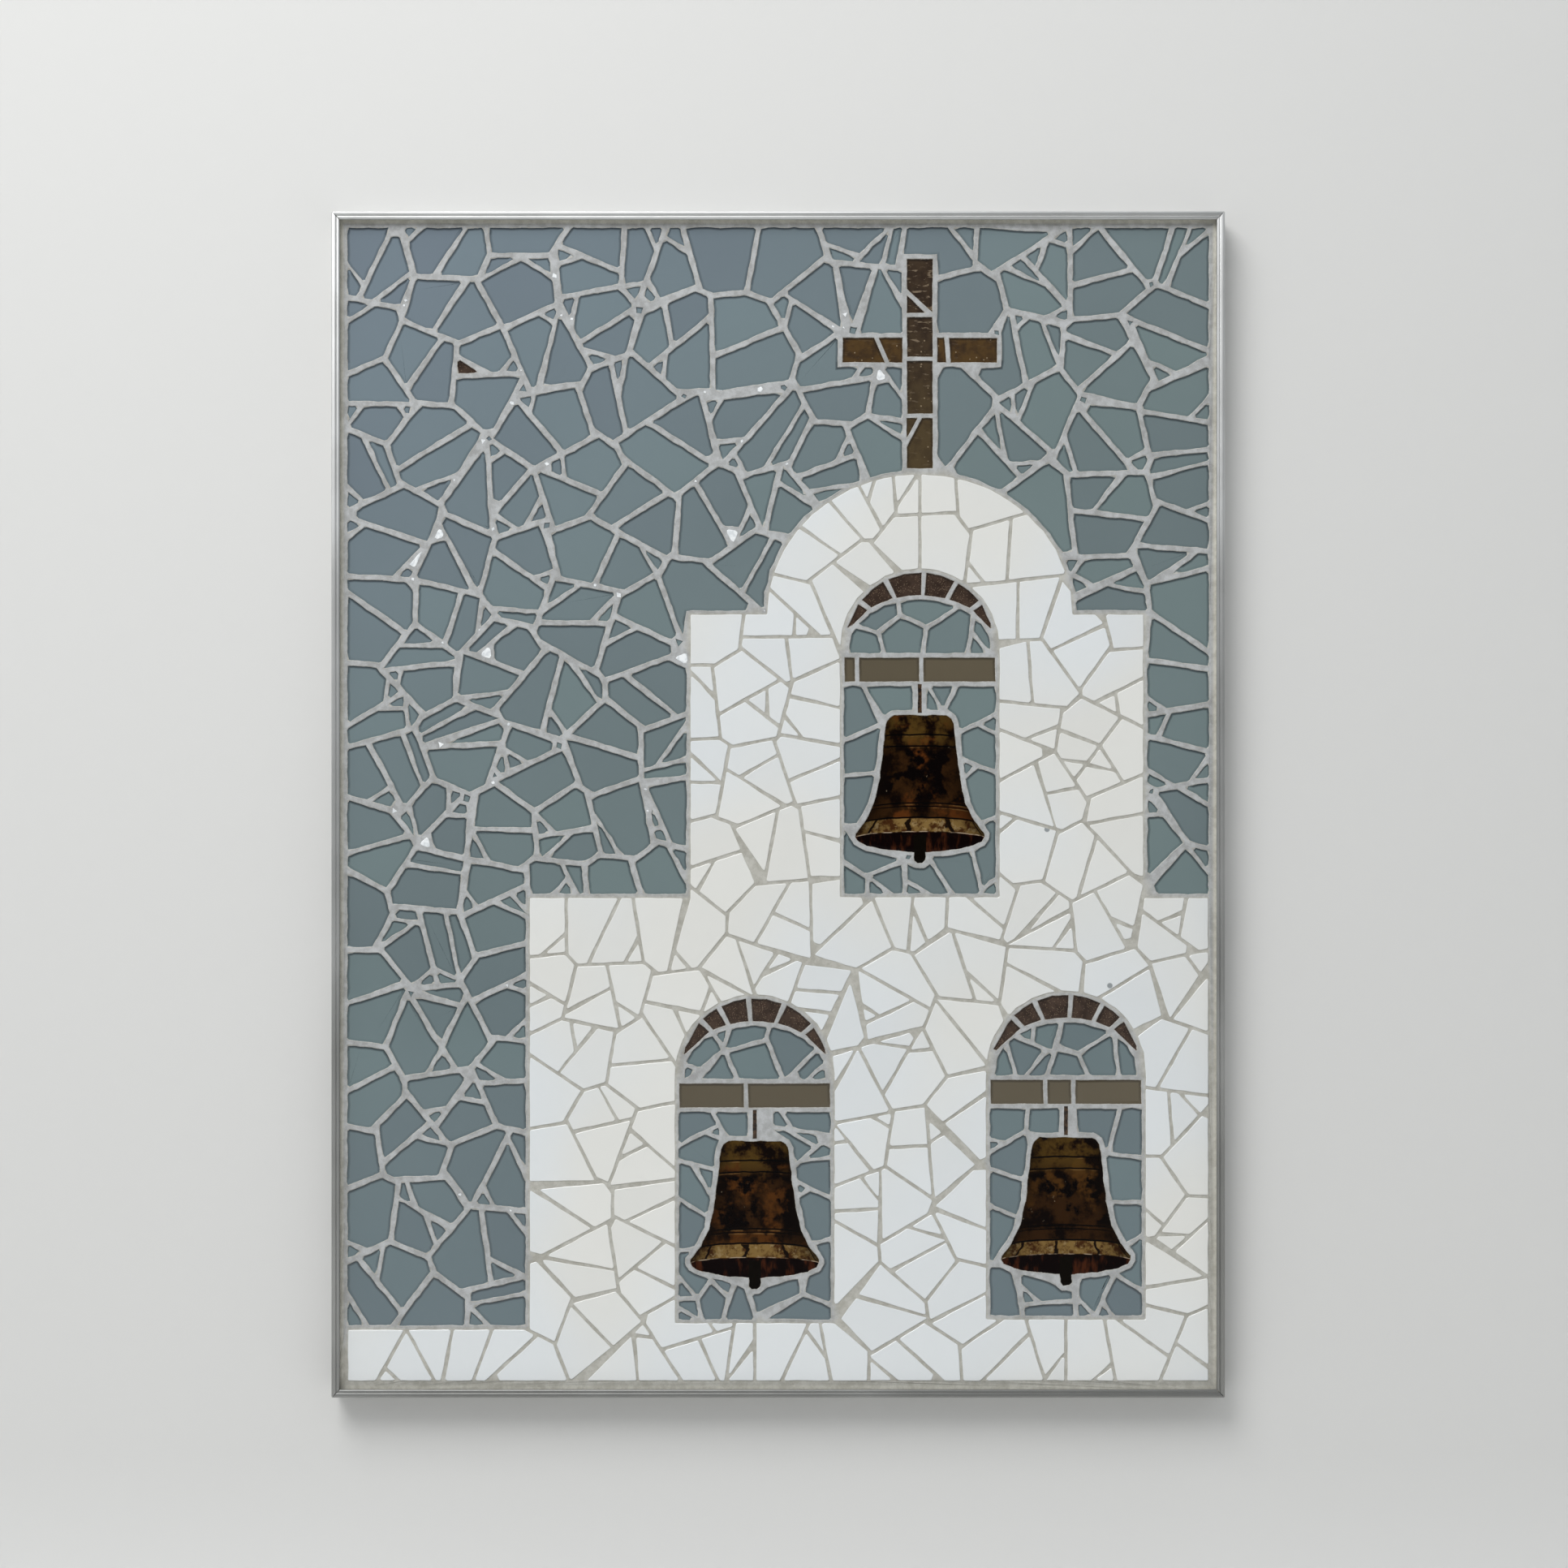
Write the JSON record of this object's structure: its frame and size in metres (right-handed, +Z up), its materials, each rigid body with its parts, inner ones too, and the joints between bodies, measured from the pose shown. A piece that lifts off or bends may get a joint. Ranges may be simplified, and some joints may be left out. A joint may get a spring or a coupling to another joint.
{
  "type": "framed wall mosaic",
  "caption": "Upright wall panel of broken glass and ceramic tiles in grout, showing a white bell gable against the sky, in a slim aluminium edging.",
  "frame": {"origin": "middle of the flat back face, which lies against the wall", "axes": "+Z up, +X to the right of someone who looks at the picture, -Y out of the wall"},
  "size_m": [0.61, 0.022, 0.81],
  "materials": {
    "aluminium_edging": "satin, with fine lengthwise lines",
    "backing_board": "sanded plywood",
    "sky_glass": "glossy slate-blue glass, coloured on its back",
    "white_tile": "glossy white glaze",
    "brown_glass": "glossy dark brown glass with fine speckle",
    "beam_glass": "smooth taupe glass",
    "bell_glass": "dark glass with a painted bronze bell",
    "grout": "matt warm grey cement grout"
  },
  "bodies": {
    "root": {"frame_bottom": "aluminium_edging", "frame_top": "aluminium_edging", "frame_left": "aluminium_edging", "frame_right": "aluminium_edging", "backing_board": "backing_board", "sky": "sky_glass", "opening_upper": "sky_glass", "opening_lower_left": "sky_glass", "opening_lower_right": "sky_glass", "wall": "white_tile", "cross_foot": "brown_glass", "cross_foot_corner": "brown_glass", "cross_shaft": "brown_glass", "cross_middle": "brown_glass", "cross_head": "brown_glass", "cross_head_corner": "brown_glass", "cross_arm_left_inner": "brown_glass", "cross_arm_left_outer": "brown_glass", "cross_arm_right_inner": "brown_glass", "cross_arm_right_outer": "brown_glass", "arch_upper_1": "brown_glass", "arch_upper_2": "brown_glass", "arch_upper_3": "brown_glass", "arch_upper_4": "brown_glass", "arch_upper_5": "brown_glass", "arch_upper_6": "brown_glass", "arch_lower_left_1": "brown_glass", "arch_lower_left_2": "brown_glass", "arch_lower_left_3": "brown_glass", "arch_lower_left_4": "brown_glass", "arch_lower_left_5": "brown_glass", "arch_lower_left_6": "brown_glass", "arch_lower_right_1": "brown_glass", "arch_lower_right_2": "brown_glass", "arch_lower_right_3": "brown_glass", "arch_lower_right_4": "brown_glass", "arch_lower_right_5": "brown_glass", "arch_lower_right_6": "brown_glass", "beam_upper_1": "beam_glass", "beam_upper_2": "beam_glass", "beam_upper_3": "beam_glass", "beam_lower_left_1": "beam_glass", "beam_lower_left_2": "beam_glass", "beam_lower_right_1": "beam_glass", "beam_lower_right_2": "beam_glass", "beam_lower_right_3": "beam_glass", "bell_upper": "bell_glass", "bell_lower_left": "bell_glass", "bell_lower_right": "bell_glass", "hanger_upper": "bell_glass", "hanger_lower_left": "bell_glass", "hanger_lower_right": "bell_glass"}
  },
  "joints": []
}
